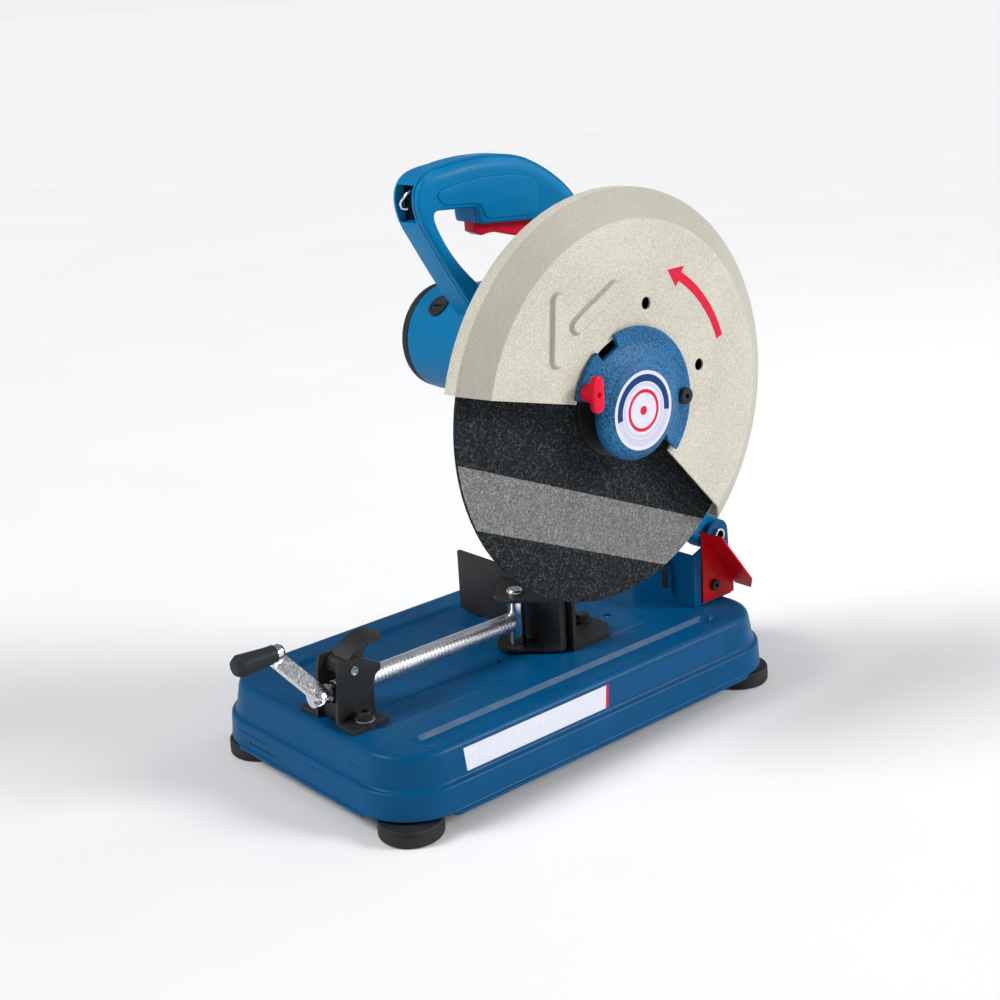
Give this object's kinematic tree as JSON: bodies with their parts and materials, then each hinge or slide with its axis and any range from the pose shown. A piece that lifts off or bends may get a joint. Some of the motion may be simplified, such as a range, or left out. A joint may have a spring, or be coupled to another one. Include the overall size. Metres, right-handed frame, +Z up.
{
  "type": "abrasive chop saw",
  "caption": "Bench cut-off saw: pivoting head with an abrasive wheel, half guard, motor and D-handle above a steel base with a screw vise and a fence.",
  "frame": {"origin": "middle of the bounding box in plan, on the floor plane under the rubber feet", "axes": "+Z up, +Y towards the pivot end at the back, +X towards the outer side of the wheel"},
  "size_m": [0.3062, 0.534, 0.5274],
  "materials": {
    "blue_steel": "gloss",
    "blue_cast": "textured paint",
    "blue_plastic": "satin",
    "cream_steel": "hammered paint",
    "black_steel": "satin",
    "bare_steel": "brushed",
    "chrome": "polished",
    "red_steel": "satin",
    "red_plastic": "satin",
    "rubber": "matte",
    "abrasive": "coarse",
    "dark_plastic": "satin",
    "copper": "wound"
  },
  "bodies": {
    "base": {"base_shell": "blue_steel", "foot_front_right": "rubber", "foot_rear_right": "rubber", "foot_front_left": "rubber", "foot_rear_left": "rubber", "pivot_bracket": "blue_steel", "pivot_shaft": "chrome", "lift_spring": "chrome", "spark_deflector": "red_steel", "deflector_screw": "black_steel", "depth_stop": "black_steel", "vise_bracket": "black_steel", "vise_bolt_right": "black_steel", "vise_bolt_left": "black_steel", "lever_pin": "black_steel", "fence_pivot_bolt": "bare_steel", "fence_slot_bolt": "black_steel"},
    "quick_release_lever": {"quick_release_lever": "black_steel"},
    "fence": {"fence": "black_steel"},
    "jaw_carrier": {"jaw_pin": "chrome"},
    "jaw": {"jaw": "black_steel"},
    "spindle": {"spindle": "chrome", "crank_rivet": "chrome"},
    "crank": {"crank": "chrome"},
    "crank_grip": {"crank_grip": "dark_plastic"},
    "head": {"arm_casting": "blue_cast", "motor_housing": "blue_cast", "motor_end_cap": "dark_plastic", "brush_cap_1": "dark_plastic", "brush_cap_2": "dark_plastic", "carbon_brush_1": "dark_plastic", "carbon_brush_2": "dark_plastic", "field_stator": "bare_steel", "armature_bearing_front": "bare_steel", "armature_bearing_rear": "bare_steel", "arbor_bearing_front": "bare_steel", "arbor_bearing_rear": "bare_steel", "guard_cover": "cream_steel", "guard_back_plate": "cream_steel", "cover_screw": "dark_plastic", "handle_half_right": "blue_plastic", "handle_half_left": "blue_plastic", "switch_module": "dark_plastic", "wire_hook": "chrome", "cord_gland": "rubber"},
    "wheel": {"abrasive_wheel": "abrasive", "arbor_shaft": "bare_steel", "drive_gear": "bare_steel", "inner_flange": "black_steel", "outer_flange": "black_steel", "wheel_bolt": "black_steel"},
    "armature": {"armature_shaft": "bare_steel", "armature_core": "copper", "commutator": "copper", "cooling_fan": "dark_plastic"},
    "hub_cover": {"hub_cover": "blue_steel"},
    "wing_screw": {"wing_screw": "red_plastic"},
    "trigger": {"trigger": "red_plastic"},
    "lock_button": {"lock_button": "red_plastic"}
  },
  "joints": [
    {"name": "head_pivot", "type": "hinge", "parent": "base", "child": "head", "pos_m": [0.03895, 0.24064, 0.139], "axis": [1, 0, 0], "range_deg": [-20, 18.5], "stiffness_Nm_per_rad": 40, "springref_deg": -24.6},
    {"name": "wheel_spin", "type": "hinge", "parent": "head", "child": "wheel", "pos_m": [0.10895, 0.07264, 0.3112], "axis": [1, 0, 0], "continuous": true},
    {"name": "armature_spin", "type": "hinge", "parent": "head", "child": "armature", "pos_m": [0.00895, 0.03278, 0.35869], "axis": [1, 0, 0], "continuous": true},
    {"name": "hub_cover_swing", "type": "hinge", "parent": "head", "child": "hub_cover", "pos_m": [0.13495, 0.13364, 0.3102], "axis": [1, 0, 0], "range_deg": [0, 95]},
    {"name": "wing_screw_turn", "type": "hinge", "parent": "hub_cover", "child": "wing_screw", "pos_m": [0.13895, 0.01564, 0.3372], "axis": [1, 0, 0], "range_deg": [0, 720]},
    {"name": "trigger_squeeze", "type": "hinge", "parent": "head", "child": "trigger", "pos_m": [0.01395, 0.00364, 0.47], "axis": [1, 0, 0], "range_deg": [0, 6], "stiffness_Nm_per_rad": 2, "springref_deg": -5.73},
    {"name": "lock_button_press", "type": "slide", "parent": "head", "child": "lock_button", "axis": [1, 0, 0], "range_m": [0, 0.003], "stiffness_N_per_m": 600, "springref_m": -0.002},
    {"name": "spindle_turn", "type": "hinge", "parent": "jaw_carrier", "child": "spindle", "pos_m": [0.01895, -0.02636, 0.098], "axis": [0, -1, 0], "range_deg": [0, 9000]},
    {"name": "jaw_slide", "type": "slide", "parent": "base", "child": "jaw_carrier", "axis": [0, -1, 0], "range_m": [0, 0.1001]},
    {"name": "jaw_swivel", "type": "hinge", "parent": "jaw_carrier", "child": "jaw", "pos_m": [0.01895, 0.02764, 0.1], "axis": [0, 0, 1], "range_deg": [-3, 3]},
    {"name": "crank_fold", "type": "hinge", "parent": "spindle", "child": "crank", "pos_m": [0.0224, -0.19836, 0.10089], "axis": [-0.766, 0, -0.6428], "range_deg": [-62, 0]},
    {"name": "crank_grip_spin", "type": "hinge", "parent": "crank", "child": "crank_grip", "pos_m": [0.00283, -0.22184, 0.1421], "axis": [0, 1, 0], "continuous": true},
    {"name": "fence_swing", "type": "hinge", "parent": "base", "child": "fence", "pos_m": [-0.07105, 0.08564, 0.074], "axis": [0, 0, 1], "range_deg": [0, 15]},
    {"name": "lever_lift", "type": "hinge", "parent": "base", "child": "quick_release_lever", "pos_m": [0.01895, -0.17136, 0.118], "axis": [1, 0, 0], "range_deg": [0, 45]}
  ],
  "couplings": [
    {"joint": "armature_spin", "follows": "wheel_spin", "ratio": -4.1667},
    {"joint": "jaw_slide", "follows": "spindle_turn", "m_per_rad": 0.00063662}
  ]
}
